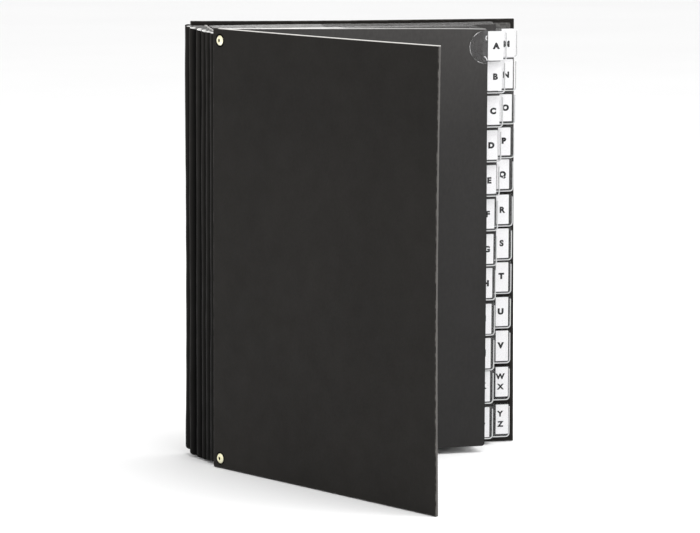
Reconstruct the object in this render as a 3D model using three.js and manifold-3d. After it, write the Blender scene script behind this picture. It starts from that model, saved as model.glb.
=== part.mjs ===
// Alphabetical desk sorter, standing upright and part open like a book.
//
// Two stiff covers, an expanding spine of six cloth pleats, and twenty-four
// index leaves hinged in the pleats, four to a pleat. Each leaf carries a
// clear tab sleeve on its fore-edge: A to L in the inner column, M to YZ in
// the outer column, each column stepping down the height of the book.
//
// Layout axes, in millimetres: +X runs from the spine to the fore-edge along
// the back cover, +Y points out of the back cover's outside face, +Z is up.
// In the layout the back cover's inner face is y = 0 and its spine edge is
// x = 0. The finished group is moved so that the origin is the bottom centre
// of the whole object's box.
import * as THREE from 'three';
import { mergeVertices } from 'three/addons/utils/BufferGeometryUtils.js';
import Module from 'manifold-3d';

// ---------------------------------------------------------------- dimensions
const COVER_H = 345;            // cover height
const COVER_W = 265;            // cover width, spine edge to fore-edge
const BOARD_T = 2.5;            // cover board thickness
const COVER_R = 1;              // cover corner radius
const COVER_OPEN = 63.15;       // front cover's opening at rest, degrees
const COVER_EDGE = 0.3;         // front board starts this far from its hinge line

const RIVET_INSET = 8.7;        // rivet centre from the spine edge
const RIVET_LOW = 7.6;          // lower rivet's centre from the bottom end
const RIVET_TOP = 9.4;          // upper rivet's centre from the top end
const RIVET_HOLE_R = 2.3;
const RIVET_SHANK_R = 2.0;
const RIVET_HEAD_R = 3.9;
const RIVET_DOME = 1.5;
const RIVET_TAIL_R = 3.4;
const RIVET_TAIL_T = 0.6;
const RIVET_GAP = 0.25;         // under the head and over the tail

const PLEAT_PITCH = 9.4;        // depth of one pleat in the stack
const PLEAT_OUTER = 9.0;        // outside width of one pleat
const PLEAT_WALL = 0.8;
const PLEAT_BACK = -1.5;        // rear boundary of the rearmost pleat
// lower and upper end of each pleat, front pleat first: the front has sagged
const PLEAT_Z = [[3.0, 340.0], [2.4, 340.2], [1.8, 340.4], [1.9, 341.0],
  [3.4, 342.0], [6.6, 343.0]];
// how far out each pleat bulges, front pleat first (x of its outermost line)
const PLEAT_LEFT = [5.0, 3.4, 1.8, -0.6, -4.4, -5.6];
const BINDER_X0 = 10.5;         // strip across the pleat that binds the leaf roots
const BINDER_X1 = 12;
const ROOT_X1 = 14;             // the glued leaf roots end here
const ROOT_T = 0.6;
const LEAF_STEP = 2.3;          // leaf to leaf inside one pleat, at the root

const LEAF_T = 0.4;
const LEAF_X0 = 14.4;           // leaf starts just past its crease
const CREASE_X = 14.2;
const LEAF_Z0 = 5;
const LEAF_Z1 = 340;            // top of the front leaf
const LEAF_RISE = 3;            // the rearmost leaf stands this much higher
const LEAF_R = 2.5;             // fore-edge corner radius
const LEAF_EDGE_INNER = 231;    // fore-edge of leaves A to L
const LEAF_EDGE_OUTER = 247.2;  // fore-edge of leaves M to YZ
// Where each leaf's middle plane stands at x = FORE_X, A to YZ: the front
// leaves have spread, the rear ones lie close together.
const FORE_X = 231;
const FORE_Y = [-46.0, -41.6, -37.3, -33.1, -29.1, -25.6, -22.9, -20.8, -19.0,
  -17.4, -15.9, -14.5, -13.1, -12.0, -10.95, -9.9, -8.85, -7.8, -6.75, -5.7,
  -4.65, -3.6, -2.55, -1.5];

const TAB_OUT = 16;             // tab beyond the leaf's fore-edge
const TAB_LIP = 4;              // tab over the leaf
const TAB_H = 26.6;
const TAB_PITCH = 28.25;
const TAB_LOW = 18.1;           // middle of the lowest tab of each column
const TAB_H_TOP = 24;           // the top tab of each column is cut shorter
const TAB_Z_TOP = 326.2;        // and its middle is here
// The sleeves are pressed on by hand: how far each sits off its place, A to YZ.
const TAB_DZ = [0.6, 0.7, 1.2, 1.3, 1.4, 1.6, 1.1, 1.5, 0.7, 0.5, 1.3, 0.2,
  0.0, -0.3, 0.8, 1.9, 3.1, 2.9, 3.3, 4.2, 3.8, 4.0, 2.5, -0.2];
const TAB_DX = [0, 0, 0, 0, 0, 0, 0, 0, 0, 0, 0, 0,
  2.4, 1.9, 1.4, 0.9, 0.4, 0.3, 0, 0, 0, 0, 0, 0.4];
const TAB_T = 1.2;
const TAB_SLOT = 0.8;
const TAB_R = 3;

const LETTERS = ['A', 'B', 'C', 'D', 'E', 'F', 'G', 'H', 'I', 'J', 'K', 'L',
  'M', 'N', 'O', 'P', 'Q', 'R', 'S', 'T', 'U', 'V', 'WX', 'YZ'];

const rad = THREE.MathUtils.degToRad;
const HINGE_X = 7.5;                                     // front cover's hinge line
const HINGE_Y = PLEAT_BACK - 6 * PLEAT_PITCH - 4.1;

// ----------------------------------------------------------------- materials
const COLOURS = {
  cover: [0x2f2d2b, 0.62, 0.0],
  cloth: [0x2a2826, 0.85, 0.0],
  leaf: [0x403e3d, 0.72, 0.0],
  tab: [0xe6e6e4, 0.25, 0.0],
  rivet: [0xb9ab8c, 0.32, 0.95],
};
function material(kind) {
  const [color, roughness, metalness] = COLOURS[kind];
  return new THREE.MeshStandardMaterial({ color, roughness, metalness });
}

// ------------------------------------------------------------------- helpers
function piece(name, geometry, kind) {
  const mesh = new THREE.Mesh(geometry, material(kind));
  mesh.name = name;
  return mesh;
}

// Outline with its own radius at each corner: corners are [x, z, radius].
function rounded(corners, steps = 5) {
  const pts = [];
  const n = corners.length;
  for (let i = 0; i < n; i++) {
    const [x, z, r] = corners[i];
    const [px, pz] = corners[(i + n - 1) % n];
    const [nx, nz] = corners[(i + 1) % n];
    if (!r) { pts.push([x, z]); continue; }
    const a = new THREE.Vector2(px - x, pz - z).normalize();
    const b = new THREE.Vector2(nx - x, nz - z).normalize();
    const cx = x + r * (a.x + b.x);
    const cz = z + r * (a.y + b.y);
    const a0 = Math.atan2(z + r * a.y - cz, x + r * a.x - cx);
    let a1 = Math.atan2(z + r * b.y - cz, x + r * b.x - cx);
    while (a1 - a0 > Math.PI) a1 -= 2 * Math.PI;
    while (a1 - a0 < -Math.PI) a1 += 2 * Math.PI;
    for (let s = 0; s <= steps; s++) {
      const t = a0 + (a1 - a0) * s / steps;
      pts.push([cx + r * Math.cos(t), cz + r * Math.sin(t)]);
    }
  }
  return pts;
}

function shapeOf(points, holes = []) {
  const shape = new THREE.Shape(points.map(([x, y]) => new THREE.Vector2(x, y)));
  for (const h of holes) {
    shape.holes.push(new THREE.Path(h.map(([x, y]) => new THREE.Vector2(x, y))));
  }
  return shape;
}

function circle(cx, cy, r, n = 20) {
  const pts = [];
  for (let i = 0; i < n; i++) {
    const t = 2 * Math.PI * i / n;
    pts.push([cx + r * Math.cos(t), cy + r * Math.sin(t)]);
  }
  return pts;
}

// Upright plate: outline in X and Z, lying between y0 and y1.
function plate(points, y0, y1, holes = []) {
  const g = new THREE.ExtrudeGeometry(shapeOf(points, holes),
    { depth: y1 - y0, bevelEnabled: false, steps: 1 });
  g.rotateX(Math.PI / 2);       // outline Y becomes Z, depth runs towards -Y
  g.translate(0, y1, 0);
  return g;
}

// Prism standing on z0: outline in X and Y.
function prism(points, z0, z1, holes = []) {
  const g = new THREE.ExtrudeGeometry(shapeOf(points, holes),
    { depth: z1 - z0, bevelEnabled: false, steps: 1 });
  g.translate(0, 0, z0);
  return g;
}

const wasm = await Module();
wasm.setup();
function solid(geometry) {
  let g = geometry.clone();
  g.deleteAttribute('normal');
  g.deleteAttribute('uv');
  g = mergeVertices(g, 1e-4);
  return new wasm.Manifold(new wasm.Mesh({
    numProp: 3,
    vertProperties: new Float32Array(g.attributes.position.array),
    triVerts: new Uint32Array(g.index.array),
  }));
}
function geometryOf(manifold) {
  const m = manifold.getMesh();
  const g = new THREE.BufferGeometry();
  g.setAttribute('position', new THREE.BufferAttribute(new Float32Array(m.vertProperties), 3));
  g.setIndex(new THREE.BufferAttribute(new Uint32Array(m.triVerts), 1));
  g.computeVertexNormals();
  return g;
}

// -------------------------------------------------------------------- covers
// Board with two rivet holes near its spine edge. Outline in X and Z.
function board(x0, y0, y1) {
  const x1 = x0 + COVER_W;
  const outline = rounded([[x0, 0, COVER_R], [x1, 0, COVER_R],
    [x1, COVER_H, COVER_R], [x0, COVER_H, COVER_R]]);
  const holes = [RIVET_LOW, COVER_H - RIVET_TOP].map(
    (z) => circle(x0 + RIVET_INSET, z, RIVET_HOLE_R));
  return plate(outline, y0, y1, holes);
}

// Domed rivet, axis along Y, head outside. side = +1 puts the head towards +Y.
// inner and outer are the board's two faces.
function rivet(x, z, inner, outer, side) {
  const grip = Math.abs(outer - inner);
  const head0 = grip + RIVET_GAP;
  const tail0 = -RIVET_GAP;
  const profile = [
    [0, tail0 - RIVET_TAIL_T],
    [RIVET_TAIL_R - 0.2, tail0 - RIVET_TAIL_T],
    [RIVET_TAIL_R, tail0 - RIVET_TAIL_T + 0.2],
    [RIVET_TAIL_R, tail0],
    [RIVET_SHANK_R, tail0],
    [RIVET_SHANK_R, head0],
    [RIVET_HEAD_R, head0],
    [RIVET_HEAD_R, head0 + 0.25],
    [RIVET_HEAD_R * 0.92, head0 + 0.62],
    [RIVET_HEAD_R * 0.72, head0 + 1.08],
    [RIVET_HEAD_R * 0.46, head0 + 1.38],
    [RIVET_HEAD_R * 0.26, head0 + RIVET_DOME],
    [RIVET_HEAD_R * 0.16, head0 + RIVET_DOME - 0.22],
    [0, head0 + RIVET_DOME - 0.34],
  ].map(([r, y]) => new THREE.Vector2(r, y));
  const g = new THREE.LatheGeometry(profile, 20);
  if (side < 0) g.rotateZ(Math.PI);
  g.translate(x, inner, z);
  return g;
}

// -------------------------------------------------------------------- pleats
// One pleat in plan: a rounded fold of cloth, the strip that binds the leaf
// roots across it, and four short roots. Local y = 0 is the pleat's middle.
function pleat(left, z0, z1) {
  const half = PLEAT_OUTER / 2;
  const cx = left + half;
  const pts = [];
  const arc = 10;
  pts.push([BINDER_X1, -half]);
  // four roots along the inner side, from the front (-y) to the rear (+y)
  for (const k of [-1.5, -0.5, 0.5, 1.5]) {
    const y = k * LEAF_STEP;
    pts.push([BINDER_X1, y - ROOT_T / 2], [ROOT_X1, y - ROOT_T / 2],
      [ROOT_X1, y + ROOT_T / 2], [BINDER_X1, y + ROOT_T / 2]);
  }
  pts.push([BINDER_X1, half]);
  for (let i = 0; i <= arc; i++) {
    const t = Math.PI / 2 + Math.PI * i / arc;
    pts.push([cx + half * Math.cos(t), half * Math.sin(t)]);
  }
  const inner = half - PLEAT_WALL;
  const hole = [[BINDER_X0, -inner], [BINDER_X0, inner]];
  for (let i = 0; i <= arc; i++) {
    const t = Math.PI / 2 + Math.PI * i / arc;
    hole.push([cx + inner * Math.cos(t), inner * Math.sin(t)]);
  }
  return prism(pts, z0, z1, [hole]);
}

// -------------------------------------------------------------------- leaves
// One leaf, its middle plane on y = 0 and its crease on x = 0.
function leaf(edge, top) {
  const x0 = LEAF_X0 - CREASE_X;
  const x1 = edge - CREASE_X;
  const outline = rounded([[x0, LEAF_Z0, 0], [x1, LEAF_Z0, LEAF_R],
    [x1, top, LEAF_R], [x0, top, 0]]);
  return plate(outline, -LEAF_T / 2, LEAF_T / 2);
}

// Clear sleeve that grips the leaf's fore-edge in a slot, with its paper
// insert inside. Local x = 0 is the fore-edge, z = 0 the sleeve's middle.
function tabSleeve(height) {
  const h = height / 2;
  const outline = rounded([[-TAB_LIP, -h, 1.2], [TAB_OUT, -h, TAB_R],
    [TAB_OUT, h, TAB_R], [-TAB_LIP, h, 1.2]], 4);
  const body = solid(plate(outline, -TAB_T / 2, TAB_T / 2));
  const slot = solid(plate([[-TAB_LIP - 2, -h - 2], [0.3, -h - 2], [0.3, h + 2],
    [-TAB_LIP - 2, h + 2]], -TAB_SLOT / 2, TAB_SLOT / 2));
  return geometryOf(body.subtract(slot));
}

// ------------------------------------------------------------------ assembly
const sorter = new THREE.Group();

// back cover, fixed
sorter.add(piece('back_cover', board(0, 0, BOARD_T), 'cover'));
sorter.add(piece('back_rivet_lower', rivet(RIVET_INSET, RIVET_LOW, 0, BOARD_T, 1), 'rivet'));
sorter.add(piece('back_rivet_upper', rivet(RIVET_INSET, COVER_H - RIVET_TOP, 0, BOARD_T, 1), 'rivet'));

// front cover, swung open about its hinge line
const front = new THREE.Group();
front.position.set(HINGE_X, HINGE_Y, 0);
front.rotation.z = -rad(COVER_OPEN);
front.add(piece('front_cover', board(COVER_EDGE, -BOARD_T, 0), 'cover'));
const rx = COVER_EDGE + RIVET_INSET;
front.add(piece('front_rivet_lower', rivet(rx, RIVET_LOW, 0, -BOARD_T, -1), 'rivet'));
front.add(piece('front_rivet_upper', rivet(rx, COVER_H - RIVET_TOP, 0, -BOARD_T, -1), 'rivet'));
sorter.add(front);

// spine pleats, front to rear
for (let k = 0; k < 6; k++) {
  const y = PLEAT_BACK - PLEAT_PITCH * (6 - k) + PLEAT_PITCH / 2;
  const g = pleat(PLEAT_LEFT[k], ...PLEAT_Z[k]);
  g.translate(0, y, 0);
  sorter.add(piece(`spine_pleat_${k + 1}`, g, 'cloth'));
}

// leaves and their tab sleeves, A at the front
const sleeve = tabSleeve(TAB_H);
const sleeveTop = tabSleeve(TAB_H_TOP);
LETTERS.forEach((letter, n) => {
  const pleatNo = Math.floor(n / 4);
  const y = PLEAT_BACK - PLEAT_PITCH * (6 - pleatNo) + PLEAT_PITCH / 2
    + ((n % 4) - 1.5) * LEAF_STEP;
  const outer = n >= 12;
  const edge = outer ? LEAF_EDGE_OUTER : LEAF_EDGE_INNER;
  const g = new THREE.Group();
  g.position.set(CREASE_X, y, 0);
  g.rotation.z = Math.asin((FORE_Y[n] - y) / (FORE_X - CREASE_X));
  g.add(piece(`leaf_${letter}`, leaf(edge, LEAF_Z1 + LEAF_RISE * n / 23), 'leaf'));
  const row = n % 12;           // 0 is the top of the column
  const tab = piece(`tab_${letter}`, (row ? sleeve : sleeveTop).clone(), 'tab');
  const z = row ? TAB_LOW + TAB_PITCH * (11 - row) : TAB_Z_TOP;
  tab.position.set(edge - CREASE_X + TAB_DX[n], 0, z + TAB_DZ[n]);
  g.add(tab);
  sorter.add(g);
});

// origin to the bottom centre of the whole box
sorter.updateMatrixWorld(true);
const box = new THREE.Box3().setFromObject(sorter, true);
const whole = new THREE.Group();
sorter.position.set(-(box.min.x + box.max.x) / 2, -(box.min.y + box.max.y) / 2, -box.min.z);
whole.add(sorter);

export default whole;
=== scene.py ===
import math
import random

import bmesh
import bpy
import numpy as np
from mathutils import Matrix, Vector, noise


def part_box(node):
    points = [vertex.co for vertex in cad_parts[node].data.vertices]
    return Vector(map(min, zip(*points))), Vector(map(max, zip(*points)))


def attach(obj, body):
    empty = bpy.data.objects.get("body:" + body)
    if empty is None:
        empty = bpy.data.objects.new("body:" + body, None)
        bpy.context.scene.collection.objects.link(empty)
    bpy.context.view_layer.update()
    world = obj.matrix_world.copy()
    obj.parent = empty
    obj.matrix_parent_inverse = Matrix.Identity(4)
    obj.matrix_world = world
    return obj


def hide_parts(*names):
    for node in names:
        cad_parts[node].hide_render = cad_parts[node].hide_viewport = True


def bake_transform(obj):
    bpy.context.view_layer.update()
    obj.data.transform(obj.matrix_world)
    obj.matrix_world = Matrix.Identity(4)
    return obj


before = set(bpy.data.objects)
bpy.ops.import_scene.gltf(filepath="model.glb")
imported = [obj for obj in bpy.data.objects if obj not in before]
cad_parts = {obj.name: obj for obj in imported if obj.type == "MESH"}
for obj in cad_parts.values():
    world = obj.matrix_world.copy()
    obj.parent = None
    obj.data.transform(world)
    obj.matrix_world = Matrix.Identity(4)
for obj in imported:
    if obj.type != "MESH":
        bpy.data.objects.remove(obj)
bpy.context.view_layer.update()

# ------------------------------------------------------------------ layout
# Layout millimetres: x = 0 at the back cover's spine edge, y = 0 on its inner
# face, z = 0 on the surface that the sorter stands on.
_lo, _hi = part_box("back_cover")
OX, OY = _lo.x, _lo.y
COVER_H = (_hi.z - _lo.z) * 1000
COVER_W = (_hi.x - _lo.x) * 1000
BOARD_T = (_hi.y - _lo.y) * 1000

COVER_OPEN = 63.15
HINGE = (7.5, -62.0)
COVER_EDGE = 0.3
RIVET_INSET, RIVET_LOW, RIVET_TOP = 8.7, 7.6, 9.4

PITCH = 9.4
BACK = -1.5
LEFT = [5.0, 3.4, 1.8, -0.6, -4.4, -5.6]
# the lower and upper edge of each pleat, front pleat first: the front has sagged
PLEAT_ENDS = [(3.0, 340.0), (2.4, 340.2), (1.8, 340.4), (1.9, 341.0), (3.4, 342.0), (6.6, 343.0)]
BINDER_X0, BINDER_X1, ROOT_X1 = 10.5, 12.0, 14.0

CREASE_X = 14.2
LEAF_X0 = 14.4
LEAF_Z0, LEAF_Z1, LEAF_RISE = 5.0, 340.0, 3.0
EDGE_INNER, EDGE_OUTER = 231.0, 247.2
STEP = 2.3
FORE_X = 231.0
FORE_Y = [-46.0, -41.6, -37.3, -33.1, -29.1, -25.6, -22.9, -20.8, -19.0,
          -17.4, -15.9, -14.5, -13.1, -12.0, -10.95, -9.9, -8.85, -7.8, -6.75, -5.7,
          -4.65, -3.6, -2.55, -1.5]
LEAF_T = 0.46

TAB_OUT, TAB_LIP, TAB_H, TAB_H_TOP = 16.0, 4.0, 26.6, 24.0
TAB_PITCH, TAB_LOW, TAB_Z_TOP = 28.25, 18.1, 326.2
TAB_DZ = [0.6, 0.7, 1.2, 1.3, 1.4, 1.6, 1.1, 1.5, 0.7, 0.5, 1.3, 0.2,
          0.0, -0.3, 0.8, 1.9, 3.1, 2.9, 3.3, 4.2, 3.8, 4.0, 2.5, -0.2]
TAB_DX = [0, 0, 0, 0, 0, 0, 0, 0, 0, 0, 0, 0,
          2.4, 1.9, 1.4, 0.9, 0.4, 0.3, 0, 0, 0, 0, 0, 0.4]

# inserts slip a little in their sleeves: how far each one's top and bottom lie
# from the sleeve's, how far it has slid out, and where its letter is printed
INS_TOP = [-0.6, -0.8, -0.8, -0.6, -0.9, -0.6, -0.35, -0.4, -0.8, -0.5, -0.4, -0.8,
           -0.6, -0.4, -1.7, -1.5, -0.3, -0.6, -0.4, -0.8, -0.8, -0.3, -0.6, -0.8]
INS_BOT = [0.5, 2.6, 2.7, 2.5, 2.8, 2.2, 2.2, 1.9, 1.4, 1.4, 1.4, 1.2,
           0.9, 2.6, 3.1, 2.6, 2.4, 2.2, 2.2, 2.0, 2.2, 1.4, 1.7, 1.6]
INS_DX = [0, 0, 0, 0, 0, 0, 0, 0, 0, 0, 0, 0, 0, 0, 0, -0.3, -0.6, -0.4, 0.2, 0.4, 0.8, 1.3, 1.7, 2.0]
RIM_UP = [0, 0.5, 0.6, 0.5, 0.5, 0.2, 0.2, 0, 0, -0.4, -0.4, -0.3, 0.3, 0.5, 0.7, 0.3, 0.3, 0.2, 0.3, 0.2, 0.4, -0.5, -1.2, -0.9]
LET_DX = [0.4, 1.1, 0.9, 0.9, 0.5, 0.8, 0.8, 1.0, 0.8, 0.8, 0.8, 0.8,
          0, 0.5, 0.9, 0.45, 0.1, 0.65, 0.6, 0.8, 0.75, 1.25, 1.45, 1.5]
LET_DZ = [-0.4, -0.55, -0.65, -0.35, -0.75, -0.3, -0.3, -0.45, -0.3, 0, 0, 0,
          -0.85, -0.75, -0.25, 0.2, -0.15, -0.6, 0, 0.4, -0.1, -0.05, 0.15, 0.1]

LETTERS = ["A", "B", "C", "D", "E", "F", "G", "H", "I", "J", "K", "L",
           "M", "N", "O", "P", "Q", "R", "S", "T", "U", "V", "WX", "YZ"]


def W(x, y, z):
    """Layout millimetres to the row frame in metres."""
    return Vector((OX + x / 1000, OY + y / 1000, z / 1000))


def srgb(r, g, b):
    return tuple(((c / 255) / 12.92 if c / 255 <= 0.04045
                  else ((c / 255 + 0.055) / 1.055) ** 2.4) for c in (r, g, b))


# --------------------------------------------------------------- materials
class Mat:
    """Small helper round a node tree."""

    def __init__(self, name):
        self.m = bpy.data.materials.new(name)
        self.m.use_nodes = True
        self.t = self.m.node_tree
        self.t.nodes.clear()
        self.out = self.t.nodes.new("ShaderNodeOutputMaterial")
        self.p = self.t.nodes.new("ShaderNodeBsdfPrincipled")
        self.t.links.new(self.p.outputs[0], self.out.inputs[0])
        self.co = self.t.nodes.new("ShaderNodeTexCoord").outputs["Object"]

    def set(self, **kw):
        for k, v in kw.items():
            self.p.inputs[k.replace("_", " ")].default_value = v
        return self

    def node(self, kind, **kw):
        n = self.t.nodes.new(kind)
        for k, v in kw.items():
            if k in n.inputs.keys():
                n.inputs[k].default_value = v
            else:
                setattr(n, k, v)
        return n

    def link(self, a, b):
        self.t.links.new(a, b)

    def scaled(self, sx, sy, sz, rot=(0, 0, 0)):
        n = self.node("ShaderNodeMapping")
        n.inputs["Scale"].default_value = (sx, sy, sz)
        n.inputs["Rotation"].default_value = rot
        self.link(self.co, n.inputs["Vector"])
        return n.outputs[0]

    def noise(self, scale, detail=3.0, rough=0.55, vector=None):
        n = self.node("ShaderNodeTexNoise")
        n.inputs["Scale"].default_value = scale
        n.inputs["Detail"].default_value = detail
        n.inputs["Roughness"].default_value = rough
        self.link(vector or self.co, n.inputs["Vector"])
        return n.outputs["Fac"]

    def ramp(self, fac, stops):
        n = self.node("ShaderNodeValToRGB")
        e = n.color_ramp.elements
        while len(e) > 1:
            e.remove(e[0])
        e[0].position, e[0].color = stops[0][0], (*stops[0][1], 1)
        for pos, col in stops[1:]:
            x = e.new(pos)
            x.color = (*col, 1)
        self.link(fac, n.inputs[0])
        return n.outputs[0]

    def math(self, op, a, b=None, clamp=False):
        n = self.node("ShaderNodeMath", operation=op, use_clamp=clamp)
        for i, v in enumerate((a, b)):
            if v is None:
                continue
            if isinstance(v, (int, float)):
                n.inputs[i].default_value = v
            else:
                self.link(v, n.inputs[i])
        return n.outputs[0]

    def mix(self, fac, a, b, mode="MIX"):
        n = self.node("ShaderNodeMix", data_type="RGBA", blend_type=mode)
        for sock, v in ((n.inputs[0], fac), (n.inputs[6], a), (n.inputs[7], b)):
            if isinstance(v, (int, float)):
                sock.default_value = v
            elif isinstance(v, tuple):
                sock.default_value = (*v, 1) if len(v) == 3 else v
            else:
                self.link(v, sock)
        return n.outputs[2]

    def bump(self, height, strength, distance, normal=None):
        n = self.node("ShaderNodeBump")
        n.inputs["Strength"].default_value = strength
        n.inputs["Distance"].default_value = distance
        self.link(height, n.inputs["Height"])
        if normal is not None:
            self.link(normal, n.inputs["Normal"])
        return n.outputs[0]

    def attr(self, name):
        n = self.node("ShaderNodeAttribute", attribute_name=name)
        return n.outputs["Fac"]

    def paint_height_light(self, col, height_light):
        """Multiplies a colour by a factor that changes with height, as painted light and shade: height_light is (z0,
        z1, low, high).
        """
        sep = self.node("ShaderNodeSeparateXYZ")
        self.link(self.co, sep.inputs[0])
        mr = self.node("ShaderNodeMapRange")
        for i, v in enumerate(height_light):
            mr.inputs[i + 1].default_value = v
        self.link(sep.outputs[2], mr.inputs[0])
        g = self.node("ShaderNodeCombineColor")
        for i in range(3):
            self.link(mr.outputs[0], g.inputs[i])
        return self.mix(1.0, col, g.outputs[0], "MULTIPLY")


def cover_material(name, base, wear=0.85, grain=0.14):
    m = Mat(name)
    broad = m.noise(9.0, 2.0)
    fine = m.noise(420.0, 3.0)
    dark = tuple(c * 0.86 for c in base)
    light = tuple(c * 1.16 for c in base)
    col = m.ramp(broad, [(0.32, dark), (0.68, light)])
    col = m.mix(0.25, col, m.ramp(fine, [(0.35, tuple(c * 0.7 for c in base)), (0.65, tuple(c * 1.35 for c in base))]))
    # rubbed edges
    w = m.attr("wear")
    patch = m.noise(160.0, 4.0, 0.65)
    rub = m.math("MULTIPLY", w, m.ramp(patch, [(0.42, (0.05,) * 3), (0.66, (1.0,) * 3)]))
    col = m.mix(m.math("MULTIPLY", rub, wear), col, srgb(96, 94, 91))
    m.link(col, m.p.inputs["Base Color"])
    rough = m.ramp(m.noise(60.0, 3.0), [(0.3, (0.50,) * 3), (0.7, (0.60,) * 3)])
    m.link(rough, m.p.inputs["Roughness"])
    # leather grain: small rounded cells with fine creases between them
    vor = m.node("ShaderNodeTexVoronoi", feature="DISTANCE_TO_EDGE")
    vor.inputs["Scale"].default_value = 950.0
    warp = m.node("ShaderNodeVectorMath", operation="ADD")
    wn = m.node("ShaderNodeTexNoise")
    wn.inputs["Scale"].default_value = 350.0
    m.link(m.co, wn.inputs["Vector"])
    sc = m.node("ShaderNodeVectorMath", operation="SCALE")
    sc.inputs["Scale"].default_value = 0.0007
    m.link(wn.outputs["Color"], sc.inputs[0])
    m.link(m.co, warp.inputs[0])
    m.link(sc.outputs[0], warp.inputs[1])
    m.link(warp.outputs[0], vor.inputs["Vector"])
    cells = m.ramp(vor.outputs["Distance"], [(0.0, (0.0,) * 3), (0.22, (1.0,) * 3)])
    b = m.bump(cells, grain, 0.0002)
    b = m.bump(m.noise(35.0, 2.0), 0.05, 0.0008, b)
    m.link(b, m.p.inputs["Normal"])
    m.set(Specular_IOR_Level=0.11)
    return m.m


def cloth_material(name, base, light=None, height_light=None):
    m = Mat(name)
    light = light or tuple(c * 1.5 for c in base)
    # plain weave, warp and weft threads about 0.35 mm apart
    def threads(axis, scale):
        w = m.node("ShaderNodeTexWave", wave_type="BANDS", bands_direction=axis, wave_profile="SIN")
        w.inputs["Scale"].default_value = scale
        w.inputs["Distortion"].default_value = 1.2
        w.inputs["Detail"].default_value = 1.0
        w.inputs["Detail Scale"].default_value = 1.0
        m.link(m.co, w.inputs["Vector"])
        return w.outputs["Fac"]
    a = threads("Z", 900.0)
    b = threads("DIAGONAL", 900.0)
    weave = m.math("MAXIMUM", a, b)
    broad = m.noise(30.0, 3.0, vector=m.scaled(1, 1, 0.25))
    col = m.ramp(broad, [(0.3, base), (0.72, light)])
    col = m.mix(m.math("MULTIPLY", weave, 0.35), col, tuple(c * 1.9 for c in base))
    w = m.attr("wear")
    rub = m.math("MULTIPLY", w, m.ramp(m.noise(220.0, 4.0, 0.6), [(0.42, (0.0,) * 3), (0.66, (1.0,) * 3)]))
    col = m.mix(m.math("MULTIPLY", rub, 0.5), col, srgb(120, 118, 114))
    if height_light:
        # painted light and shade: lighter towards the top, and darker inside the folds as painted shade
        col = m.paint_height_light(col, height_light)
        col = m.mix(m.attr("inside"), col, m.mix(1.0, col, (0.28, 0.28, 0.28), "MULTIPLY"))
    m.link(col, m.p.inputs["Base Color"])
    m.link(m.ramp(m.noise(90.0), [(0.3, (0.58,) * 3), (0.7, (0.72,) * 3)]), m.p.inputs["Roughness"])
    n = m.bump(weave, 0.28, 0.00018)
    n = m.bump(m.noise(55.0, 3.0, vector=m.scaled(1, 1, 0.3)), 0.22, 0.0012, n)
    m.link(n, m.p.inputs["Normal"])
    m.set(Specular_IOR_Level=0.09)
    return m.m


def board_material(name, base, spec=0.3, fibre=0.05, rough=(0.55, 0.68), height_light=None, rub=None, top_light=None):
    """Pressboard or card: flat, faint fibre mottling. height_light gives (z0, z1, low, high): painted light and shade,
    lighter towards the top, top_light a second such ramp, rub the colour where it has worn."""
    m = Mat(name)
    f1 = m.noise(520.0, 4.0, 0.7, m.scaled(1, 1, 0.45))
    f2 = m.noise(14.0, 2.0)
    col = m.ramp(f1, [(0.36, tuple(c * 0.82 for c in base)), (0.64, tuple(c * 1.18 for c in base))])
    col = m.mix(0.5, col, m.ramp(f2, [(0.3, tuple(c * 0.9 for c in base)), (0.7, tuple(c * 1.1 for c in base))]))
    if height_light:
        col = m.paint_height_light(col, height_light)
    if top_light:
        col = m.paint_height_light(col, top_light)
    if rub:
        patch = m.ramp(m.noise(330.0, 3.0, 0.6), [(0.34, (0.25,) * 3), (0.62, (1.0,) * 3)])
        col = m.mix(m.math("MULTIPLY", m.attr("wear"), patch), col, rub)
    m.link(col, m.p.inputs["Base Color"])
    m.link(m.ramp(m.noise(40.0), [(0.3, (rough[0],) * 3), (0.7, (rough[1],) * 3)]), m.p.inputs["Roughness"])
    n = m.bump(f1, fibre * 2, 0.0001)
    n = m.bump(m.noise(22.0, 2.0), 0.08, 0.001, n)
    m.link(n, m.p.inputs["Normal"])
    m.set(Specular_IOR_Level=spec)
    return m.m


def edge_material(name, base, ends=None, spec=0.2, inside_shade=None):
    """Cut edge of card: layered fibres, lighter than the faces. ends gives (x0, x1, factor) for a change along x,
    inside_shade the factor of painted shade where the attribute "inside" is one."""
    m = Mat(name)
    lay = m.noise(900.0, 4.0, 0.7, m.scaled(1, 4, 1))
    long = m.noise(45.0, 3.0)
    col = m.ramp(lay, [(0.3, tuple(c * 0.72 for c in base)), (0.7, tuple(min(1, c * 1.2) for c in base))])
    col = m.mix(0.45, col, m.ramp(long, [(0.3, tuple(c * 0.8 for c in base)), (0.7, tuple(min(1, c * 1.15) for c in base))]))
    if ends:
        sep = m.node("ShaderNodeSeparateXYZ")
        m.link(m.co, sep.inputs[0])
        mr = m.node("ShaderNodeMapRange")
        for i, v in ((1, ends[0]), (2, ends[1]), (3, 0.0), (4, 1.0)):
            mr.inputs[i].default_value = v
        m.link(sep.outputs[0], mr.inputs[0])
        col = m.mix(mr.outputs[0], col, m.mix(1.0, col, (ends[2],) * 3, "MULTIPLY"))
    if inside_shade:
        col = m.mix(m.attr("inside"), col, m.mix(1.0, col, (inside_shade,) * 3, "MULTIPLY"))
    m.link(col, m.p.inputs["Base Color"])
    m.link(m.ramp(lay, [(0.3, (0.85,) * 3), (0.7, (0.95,) * 3)]), m.p.inputs["Roughness"])
    m.link(m.bump(lay, 0.4, 0.0001), m.p.inputs["Normal"])
    m.set(Specular_IOR_Level=spec)
    return m.m


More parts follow.
